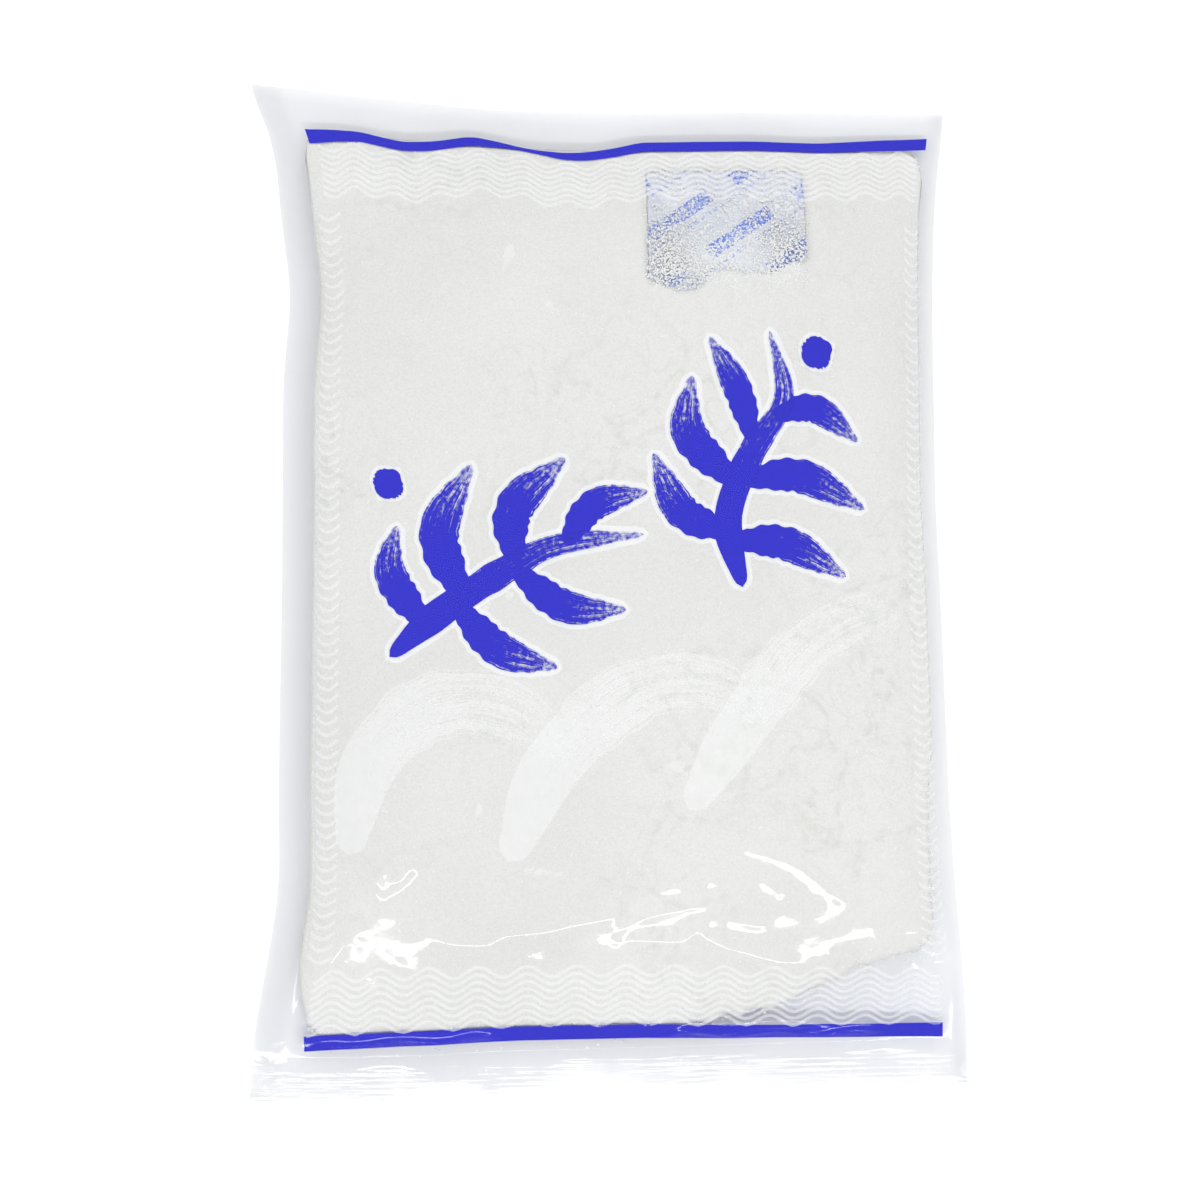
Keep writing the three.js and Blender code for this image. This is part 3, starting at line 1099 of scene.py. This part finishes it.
    def grains(self) -> Piece:
        """Loose crystals between the salt and the film, most on the packet and at the rim.

        Returns:
            The crystals, as one piece.
        """
        bm = new_bmesh()
        bmesh.ops.create_cube(bm, size=1.0)
        corners = np.array([vert.co[:] for vert in bm.verts])
        for _ in range(self.grain_doublings):
            bmesh.ops.duplicate(bm, geom=bm.verts[:] + bm.edges[:] + bm.faces[:])
        count = 2**self.grain_doublings
        places, sizes = self.scatter(count)
        turns = np.random.default_rng(8).uniform(0, math.tau, (count, 3))
        bm.verts.ensure_lookup_table()
        for k in range(count):
            spin = np.array(Euler(turns[k]).to_matrix())
            for j, corner in enumerate(corners * sizes[k] @ spin.T + places[k]):
                bm.verts[k * len(corners) + j].co = corner * MM
        return add_object("salt_grains", bm, self.finishes.grains, smooth=False)

    def scatter(self, count: int) -> tuple[Array, Array]:
        """Places and sizes for the loose crystals.

        The first tenth lies along the sides, up to a sixth of them along the ends, and the last
        58% on the packet and heaped over its lower edge.

        Args:
            count: how many there are.

        Returns:
            Their places and their sizes, in millimetres.
        """
        rng = np.random.default_rng(7)
        s, t = rng.uniform(0.01, 0.99, count), rng.uniform(0.01, 0.99, count)
        side, end, packet = count // 10, count // 6, int(0.42 * count)
        s[:side] = rng.choice([0.0, 1.0], side) + rng.normal(0, 0.014, side)
        t[side:end] = rng.choice([0.0, 1.0], end - side) + rng.normal(0, 0.012, end - side)
        u, v = self.outline(np.clip(s, 0.0, 1.0), np.clip(t, -0.02, 1.0))
        u = np.clip(u, self.left + self.grain_inset, self.right - self.grain_inset)
        v = np.minimum(v, self.highest_grain)
        number = count - packet
        u[packet:] = SACHET_U + rng.uniform(-22, 22, number) + rng.normal(0, 1.3, number)
        heap = np.clip(rng.gamma(1.3, 8.5, number), 0, 33)
        v[packet:] = SACHET_V - 14 + heap + rng.normal(0, 2.2, number)
        size = rng.uniform(0.25, 0.55, count)
        size[packet:] = rng.uniform(0.2, 0.5, number)
        depth = np.maximum(self.depth(u, v) - 0.1, 0.25)
        depth[packet:] = 0.55
        places = FILM.at(u, v, -(depth + 0.5 * size))
        places[:, 2] = np.maximum(places[:, 2], FILM.back(u, v) + size)
        return places, size

    def fronds(self) -> list[Piece]:
        """The fronds of the top layer, which show through the film, as lobed ruffled blades.

        Returns:
            The fronds, each in the place of its own CAD node.
        """
        rng = np.random.default_rng(3)
        pieces = []
        for index in range(9, 14):
            low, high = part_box(f"frond_{index:02d}")
            middle = ((low[0] + high[0]) / 2 / MM, (low[1] + high[1]) / 2 / MM)
            reach = (high[0] - low[0] + high[1] - low[1]) / 4 / MM
            pieces.append(self.frond(index, middle, reach, rng.uniform(0, math.tau, 6)))
        return pieces

    def frond(self, index: int, middle: Point, reach: float, phases: Array) -> Piece:
        """One ruffled frond, flat on the salt.

        Args:
            index: its number.
            middle: where its middle lies on the film.
            reach: its size from the middle to the tips of its lobes.
            phases: what makes its outline its own.

        Returns:
            The frond.
        """
        bm = new_bmesh()
        bmesh.ops.create_uvsphere(bm, u_segments=220, v_segments=26, radius=1.0)
        co = np.array([vert.co[:] for vert in bm.verts])
        angle = np.arctan2(co[:, 1], co[:, 0])
        out = np.hypot(co[:, 0], co[:, 1])
        shape = 0.62 + 0.22 * np.cos(5 * angle + phases[0]) + 0.1 * np.cos(11 * angle + phases[1])
        shape = shape + 0.05 * np.cos(23 * angle + phases[2])
        shape = shape + 0.03 * np.cos(41 * angle + phases[3])
        u = middle[0] + reach * out * shape * np.cos(angle)
        v = middle[1] + reach * out * shape * np.sin(angle)
        ruffle = 0.22 * np.sin(9 * angle + 7 * out + phases[4]) * out**2
        ruffle = ruffle + 0.3 * noise(u, v, 6, 60 + index)
        body = np.sign(co[:, 2]) * np.sqrt(np.abs(co[:, 2])) * 0.28
        depth = self.depth(u, v) + 0.5
        packet = np.abs(u - SACHET_U) < 25
        under = np.where(packet & (v > SACHET_V - 24), 2.0, 0.0)
        lift = np.minimum(body + ruffle - depth - under, -0.22)
        for vert, point in zip(bm.verts, FILM.at(u, v, lift) * MM):
            vert.co = point
        bmesh.ops.recalc_face_normals(bm, faces=bm.faces)
        node = f"frond_{index:02d}"
        piece = add_object(node + "_blade", bm, self.finishes.seaweed)
        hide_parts(node)
        return piece


@dataclass
class Sachet:
    """The flat packet that lies on the salt under the front film."""

    finishes: Finishes
    width: float = 45.0
    length: float = 42.0
    seal: float = 5.0
    crimp_pitch: float = 2.2
    thickness: float = 0.1

    def build(self) -> list[Piece]:
        """Builds the packet's upper web, with crimped ends.

        Returns:
            The web, as a list of one piece.
        """
        bm = new_bmesh()

        def place(s: Array, t: Array) -> Array:
            """A place on the packet's upper web.

            Args:
                s: the share of the way along its first side.
                t: the share of the way along its second side.

            Returns:
                The places, one row each.
            """
            a, b = (s - 0.5) * self.width, (t - 0.5) * self.length
            from_side = np.maximum(0, self.width / 2 - self.seal - np.abs(a))
            from_end = np.maximum(0, self.length / 2 - self.seal - np.abs(b))
            swell = (1 - np.exp(-from_side / 4)) * (1 - np.exp(-from_end / 4))
            crimp = 0.12 * np.sin(math.tau * a / self.crimp_pitch) * (from_end <= 0)
            crease = 0.25 * noise(a, b, 6, 71) + 0.12 * noise(a, b, 2.6, 72)
            drop = 1.5 - 0.75 * swell + np.clip(crease, -0.4, 0.4) * 0.6
            return FILM.at(SACHET_U + a, SACHET_V + b, -(np.maximum(drop, 0.35) + crimp))

        add_patch(bm, 64, 60, place)
        bmesh.ops.solidify(bm, geom=bm.faces[:], thickness=self.thickness * MM)
        bmesh.ops.recalc_face_normals(bm, faces=bm.faces)
        piece = add_object("sachet_web_upper", bm, self.finishes.sachet)
        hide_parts("sachet_front_web")
        return [piece]


@dataclass(frozen=True)
class Stroke:
    """One brush stroke: its route, its widths from start to end, and whether it runs dry."""

    points: Route
    widths: tuple[float, ...]
    dry: bool = False


def leaf(start: Point, bend: Point, tip: Point, width: float) -> Stroke:
    """A pointed blade of the painted sprig."""
    widths = tuple(share * width for share in (0.4, 0.9, 1.0, 0.72, 0.2))
    return Stroke((start, bend, tip), widths, True)


SPRIG_LEFT = (
    Stroke(((-35, -26), (-22, -15), (-4, -3), (12, 5), (36, 8)), (3.5, 8, 8, 7, 5, 1.6), True),
    leaf((-25, -17), (-35, -3), (-33, 10), 9.5),
    leaf((-14, -10), (-21, 8), (-12, 27), 11.0),
    leaf((0, 0), (0, 15), (14, 29), 10.5),
    leaf((14, 5), (22, 16), (37, 20), 8.5),
    leaf((-16, -12), (-4, -24), (12, -29), 9.5),
    leaf((0, -2), (14, -12), (31, -13), 9.0),
    Stroke(((-38, 18), (-36, 21), (-33, 25)), (2.5, 8, 9.5, 7.5, 2)),
)

SPRIG_RIGHT = (
    Stroke(((-5, -35), (-9, -16), (-2, 3), (7, 18), (3, 37)), (3.5, 7.5, 8, 7, 5, 1.4), True),
    leaf((-8, -20), (-22, -14), (-30, 2), 9.5),
    leaf((-7, -6), (-20, 8), (-19, 24), 10.0),
    leaf((-2, 6), (-6, 20), (-14, 35), 8.0),
    leaf((-8, -22), (8, -23), (25, -32), 9.5),
    leaf((-5, -5), (12, -4), (31, -13), 9.5),
    leaf((4, 13), (16, 15), (29, 6), 8.0),
    Stroke(((13, 28), (17, 31), (21, 33)), (2.5, 8, 9.5, 7.5, 2)),
)

SWEEPS = (
    Stroke(((-76, -72), (-70, -48), (-52, -32), (-30, -32), (-14, -46)), (9, 17, 19, 18, 10), True),
    Stroke(((-30, -74), (-18, -48), (4, -28), (26, -25), (42, -36)), (8, 16, 19, 17, 9), True),
    Stroke(((20, -60), (34, -38), (52, -16), (70, -6), (84, -8)), (7, 14, 17, 15, 8), True),
)


@dataclass
class Prints:
    """Everything that is printed on the inside of the films."""

    finishes: Finishes
    panel_left: float = -88.5
    panel_right: float = 95.5
    low_left: float = -86.0
    low_right: float = 93.0
    top_heights: tuple = ((-88, 4.1), (-80, 3.8), (-68, 3.1), (0, 3.0), (50, 3.0), (80, 3.4),
                          (96, 3.5))
    low_heights: tuple = ((-88, 4.3), (96, 4.3))
    bar_top: tuple = ((-88, 125.8), (-80, 127.0), (-72, 127.7), (-60, 125.9), (-52, 126.6),
                      (-40, 129.8), (-32, 129.2), (-22, 127.2), (-14, 126.0), (-8, 126.2),
                      (0, 127.8), (8, 129.7), (60, 129.3), (80, 130.5), (96, 130.9))
    bar_bottom: tuple = ((-88, -123.6), (-80, -122.7), (-60, -121.9), (8, -122.0), (40, -123.0),
                         (96, -124.4))
    wave_width: float = 0.9
    wave_count: int = 8
    arc_width: float = 8.4
    arc_pitch: float = 3.1
    arc_rise: float = 1.9
    outline_width: float = 1.3
    stroke_steps: int = 60
    ink_depth: float = 0.1
    outline_depth: float = 0.18
    sweep_depth: float = 0.21
    table: tuple = (-6.0, 78.0, -100.0, -48.0)
    rule_width: float = 0.35
    table_height: float = 0.06

    def build(self) -> list[Piece]:
        """Prints the bars, the wave lines, the sprigs, the sweeps and the back's table.

        Returns:
            The prints.
        """
        panel, low = (self.panel_left, self.panel_right), (self.low_left, self.low_right)
        pieces = [
            self.bar("print_bar_top", self.bar_top, self.top_heights, panel, 0.6),
            self.bar("print_bar_bottom", self.bar_bottom, self.low_heights, low, 0.0),
            self.waves("print_waves_top", self.bar_top, (-3.5, -1.85), (12.3, 23.7), 1.2),
            self.waves("print_waves_bottom", self.bar_bottom, (3.4, 2.05), (13.6, 30.0), 1.45),
            self.side_arcs("print_waves_left", self.panel_left + 0.4),
            self.side_arcs("print_waves_right", self.panel_right - 8.8),
        ]
        pieces += self.sprig("left", SPRIG_LEFT, (-28.5, 8.0))
        pieces += self.sprig("right", SPRIG_RIGHT, (40.0, 36.5))
        return [*pieces, self.sweeps(), self.back_table()]

    def ribbon(self, bm: Shape, line: Array, width: Array, depth: float, across: int = 1) -> None:
        """Adds a printed line that follows the film.

        Args:
            bm: the mesh that takes it.
            line: the places along its middle.
            width: its width at each place.
            depth: how far under the film it lies.
            across: how many faces wide it is.
        """
        run = np.gradient(line, axis=0)
        run = run / np.maximum(np.hypot(run[:, 0], run[:, 1]), 1e-9)[:, None]
        count = len(line) - 1

        def place(s: Array, t: Array) -> Array:
            """A place on the printed line.

            Args:
                s: the share of the way along its first side.
                t: the share of the way along its second side.

            Returns:
                The places, one row each.
            """
            k = np.rint(s * count).astype(int)
            off = (t - 0.5) * width[k]
            u = line[k, 0] - run[k, 1] * off
            v = line[k, 1] + run[k, 0] * off
            return FILM.at(u, v, -depth)

        add_patch(bm, count, across, place)

    def bar(self, name: str, route: tuple, heights: tuple, ends: tuple, thin: float) -> Piece:
        """One of the blue bars across the ends of the panel.

        Args:
            name: its name.
            route: the places along its middle.
            heights: how high it is along its route.
            ends: where it starts and ends across the film.
            thin: how much of it the fold of the top seal hides.

        Returns:
            The bar.
        """
        bm = new_bmesh()
        us = np.linspace(*ends, 260)
        line = np.column_stack([us, soft_curve(us, route, 2.0)])
        height = soft_curve(us, heights, 4.0) * (1 - thin * np.exp(-(((us + 25) / 10) ** 2)))
        self.ribbon(bm, line, height, self.ink_depth, 6)
        return add_object(name, bm, self.finishes.blue)

    def waves(self, name: str, route: tuple, rows: tuple, waves: tuple, rise: float) -> Piece:
        """A band of white wave lines across the panel.

        Args:
            name: its name.
            route: the middle of the bar that the lines run beside.
            rows: the place of the line next to the bar, and the step to the next line.
            waves: the length of a wave and the place of one crest.
            rise: the height of a wave.

        Returns:
            The band.
        """
        bm = new_bmesh()
        us = np.linspace(self.low_left + 0.5, self.low_right - 0.5, 300)
        start, pitch = rows
        length, crest = waves
        for k in range(self.wave_count):
            wave = rise * np.cos(math.tau * (us - crest) / length)
            line = np.column_stack([us, soft_curve(us, route, 3.0) + start + pitch * k + wave])
            self.ribbon(bm, line, np.full_like(us, self.wave_width), self.ink_depth)
        return add_object(name, bm, self.finishes.white, shades=False)

    def side_arcs(self, name: str, start: float) -> Piece:
        """A column of short white arcs down one side of the panel.

        Args:
            name: its name.
            start: its left edge on the film.

        Returns:
            The column.
        """
        bm = new_bmesh()
        share = np.linspace(-1, 1, 13)
        us = start + (share + 1) / 2 * self.arc_width
        for v in np.arange(-100.5, 107.0, self.arc_pitch):
            line = np.column_stack([us, v + self.arc_rise * (share**2 - 0.5)])
            self.ribbon(bm, line, np.full_like(us, self.wave_width * 1.05), self.ink_depth)
        return add_object(name, bm, self.finishes.white, shades=False)

    def painted(self, bm: Shape, stroke: Stroke, middle: Point, grow: float, depth: float) -> None:
        """Adds one brush stroke.

        Args:
            bm: the mesh that takes it.
            stroke: the stroke.
            middle: where the middle of its design lies on the film.
            grow: how much wider it is all round, for an outline.
            depth: how far under the film it lies.
        """
        line = spline(stroke.points, self.stroke_steps)
        if grow:
            line = self.lengthened(line, grow)
        share = np.linspace(0, 1, len(line))
        width = np.interp(share, np.linspace(0, 1, len(stroke.widths)), stroke.widths)
        wobble = 0.09 * width * noise(share * 30, share * 0, 1.7, 80 + len(stroke.points))
        cap = np.sqrt(np.clip(1 - (1 - np.minimum(share, 1 - share) / 0.05).clip(0, 1) ** 2, 0, 1))
        width = (width + wobble + 2 * grow) * np.maximum(cap, 0.02)
        self.ribbon(bm, line + np.array(middle), width, depth, 6)

    def lengthened(self, line: Array, by: float) -> Array:
        """Lets a line run on past both its ends.

        Args:
            line: the places along it.
            by: how much longer each end becomes.

        Returns:
            The longer line.
        """
        first, last = line[0] - line[1], line[-1] - line[-2]
        first, last = first / np.hypot(*first), last / np.hypot(*last)
        return np.vstack([line[0] + first * by, line, line[-1] + last * by])

    def sprig(self, side: str, strokes: tuple[Stroke, ...], middle: Point) -> list[Piece]:
        """A painted sprig of seaweed in blue, with a white outline round it.

        Args:
            side: which side of the panel it is on.
            strokes: its brush strokes, each a little under the one before it.
            middle: where its middle lies on the film.

        Returns:
            Its berry, its stem with the leaves, and its outline.
        """
        name, looks = "print_sprig_" + side, self.finishes
        solid, dry, outline = new_bmesh(), new_bmesh(), new_bmesh()
        for k, stroke in enumerate(strokes):
            under = 0.002 * k
            self.painted(dry if stroke.dry else solid, stroke, middle, 0.0, self.ink_depth + under)
            self.painted(outline, stroke, middle, self.outline_width, self.outline_depth + under)
        return [
            add_object(name, solid, looks.blue),
            add_object(name + "_stem", dry, looks.dry_blue),
            add_object(name + "_outline", outline, looks.outline, shades=False),
        ]

    def sweeps(self) -> Piece:
        """Broad white dry-brush sweeps across the lower half.

        Returns:
            The sweeps, as one piece.
        """
        bm = new_bmesh()
        for k, stroke in enumerate(SWEEPS):
            self.painted(bm, stroke, (0.0, 0.0), 0.0, self.sweep_depth + 0.004 * k)
        return add_object("print_sweeps", bm, self.finishes.dry_white, shades=False)

    def back_table(self) -> Piece:
        """An empty ruled table on the back film.

        Returns:
            The table.
        """
        bm = new_bmesh()
        left, right, low, high = self.table
        lines = [((left, v), (right, v)) for v in np.linspace(low, high, 9)]
        lines += [((u, low), (u, high)) for u in (left, 18.0, right)]
        for start, end in lines:
            self.back_line(bm, start, end)
        return add_object("print_back_table", bm, self.finishes.back_blue)

    def back_line(self, bm: Shape, start: Point, end: Point) -> None:
        """Adds a straight line on the inside of the back film.

        Args:
            bm: the mesh that takes it.
            start: where it starts on the film.
            end: where it ends on the film.
        """
        run = np.array(end) - np.array(start)
        side = np.array([-run[1], run[0]]) / np.hypot(*run)

        def place(s: Array, t: Array) -> Array:
            """A place on the line."""
            flat = np.array(start) + np.outer(s, run) + np.outer(t - 0.5, side) * self.rule_width
            return np.column_stack([*FILM.plan(*flat.T), FILM.back(*flat.T) + self.table_height])

        add_patch(bm, 60, 1, place)


@dataclass
class Studio:
    """The pale floor, the soft lights and the camera."""

    target: tuple = (-0.0043, -0.0020, 0.012)
    eye: tuple = (-0.056, -0.030, 0.602)
    lens: float = 63.9

    def build(self) -> None:
        """Sets the floor, the lights and the camera."""
        self.floor()
        self.lights()
        self.camera()

    def floor(self) -> None:
        """A plain white floor."""
        bm = new_bmesh()
        bmesh.ops.create_grid(bm, x_segments=1, y_segments=1, size=3.0)
        mesh = bpy.data.meshes.new("floor")
        bm.to_mesh(mesh)
        bm.free()
        n = Nodes("floor_white")
        tone = n.ramp(n.speckle(3, 2), (0.3, (0.965, 0.965, 0.967)), (0.7, (0.975, 0.975, 0.976)))
        mesh.materials.append(n.finish(n.add("BsdfPrincipled", Base_Color=tone, Roughness=0.9)))
        floor = bpy.data.objects.new("floor", mesh)
        bpy.context.scene.collection.objects.link(floor)

    def lights(self) -> None:
        """Even white surroundings, a window past the lower edge and two soft fills."""
        world = bpy.data.worlds.new("studio")
        bpy.context.scene.world = world
        world.use_nodes = True
        background = world.node_tree.nodes["Background"]
        background.inputs["Color"].default_value = (1.0, 1.0, 1.0, 1.0)
        background.inputs["Strength"].default_value = 1.02
        self.panel("window", (0.03, -0.46, 0.80), (1.0, 0.065), 2.9)
        self.panel("side_fill", (-0.9, 0.5, 0.9), (0.6, 0.6), 0.5)
        self.panel("top_fill", (0.1, 1.0, 0.8), (1.2, 0.5), 3.2)

    def panel(self, name: str, place: tuple, size: tuple, power: float) -> None:
        """Hangs a rectangular light that faces the pouch. Only the window shows in the gloss.

        Args:
            name: its name.
            place: where it hangs, in metres.
            size: its width and height, in metres.
            power: its power, in watts.
        """
        data = bpy.data.lights.new(name, "AREA")
        data.shape = "RECTANGLE"
        data.size, data.size_y = size
        data.energy = power
        lamp = bpy.data.objects.new(name, data)
        lamp.location = place
        lamp.visible_glossy = name == "window"
        lamp.rotation_euler = (-Vector(place)).to_track_quat("-Z", "Y").to_euler()
        bpy.context.scene.collection.objects.link(lamp)

    def camera(self) -> None:
        """The camera, nearly straight over the pouch."""
        data = bpy.data.cameras.new("camera")
        data.lens = self.lens
        data.sensor_width = 36.0
        data.clip_start = 0.01
        eye, target = Vector(self.eye), Vector(self.target)
        back = (eye - target).normalized()
        right = Vector((0, 1, 0)).cross(back).normalized()
        up = back.cross(right)
        camera = bpy.data.objects.new("camera", data)
        camera.matrix_world = Matrix((
            (right.x, up.x, back.x, eye.x),
            (right.y, up.y, back.y, eye.y),
            (right.z, up.z, back.z, eye.z),
            (0, 0, 0, 1),
        ))
        bpy.context.scene.collection.objects.link(camera)
        bpy.context.scene.camera = camera
        bpy.context.scene.view_settings.view_transform = "Standard"


def dress_cad(finishes: Finishes) -> None:
    """Gives the CAD pieces that stay their finishes.

    Args:
        finishes: the pouch's materials.
    """
    looks = {
        "frond": finishes.seaweed,
        "sachet_back": finishes.sachet,
        "sachet_granules": finishes.granules,
    }
    for name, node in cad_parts.items():
        for start, material in looks.items():
            if name.startswith(start):
                node.data.materials.clear()
                node.data.materials.append(material)


def main() -> None:
    """Builds the pouch and the studio, and reports each piece."""
    logging.basicConfig(level=logging.INFO, format="%(message)s")
    Studio().build()
    finishes = Finishes()
    dress_cad(finishes)
    for part in (Pouch(finishes), Filling(finishes), Sachet(finishes), Prints(finishes)):
        for piece in part.build():
            log.info("%s: %d faces", piece.name, len(piece.data.polygons))


if __name__ == "__main__":
    main()
